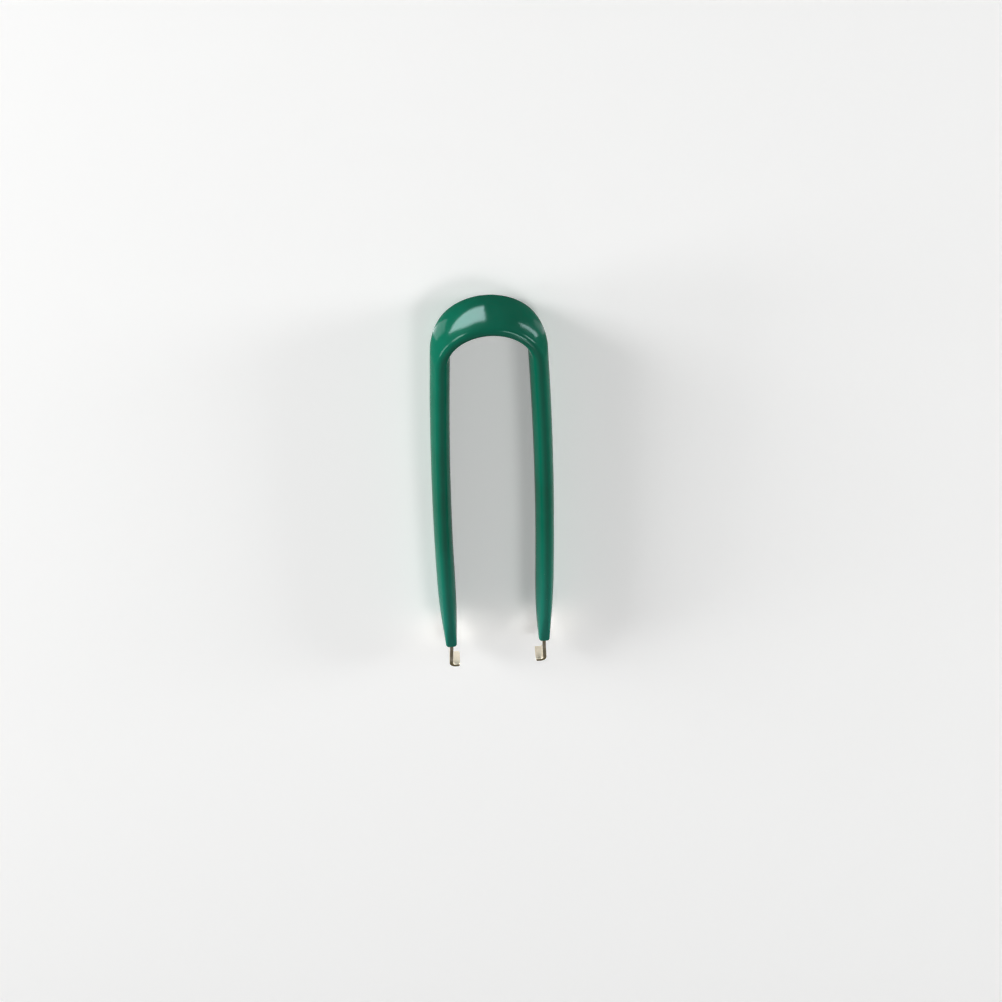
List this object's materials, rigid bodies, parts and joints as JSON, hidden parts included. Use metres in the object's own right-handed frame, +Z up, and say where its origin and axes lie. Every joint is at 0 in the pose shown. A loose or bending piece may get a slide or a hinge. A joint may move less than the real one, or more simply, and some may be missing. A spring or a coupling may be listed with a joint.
{
  "type": "keycap and switch puller",
  "caption": "U-shaped hand puller for keycaps and key switches: a bent spring-steel strip in a glossy green vinyl sleeve, with bare inward hooks at its open end.",
  "frame": {"origin": "under the middle of the puller as it lies flat, on the surface that it rests on", "axes": "+Y along the legs towards the crown, X across the legs, +Z up through the width of the strip"},
  "size_m": [0.0242, 0.105, 0.0098],
  "materials": {
    "spring_steel": "bright plated spring steel",
    "green_vinyl": "glossy dark green vinyl"
  },
  "bodies": {
    "root": {"spring_band": "spring_steel", "vinyl_sleeve": "green_vinyl"}
  },
  "joints": []
}
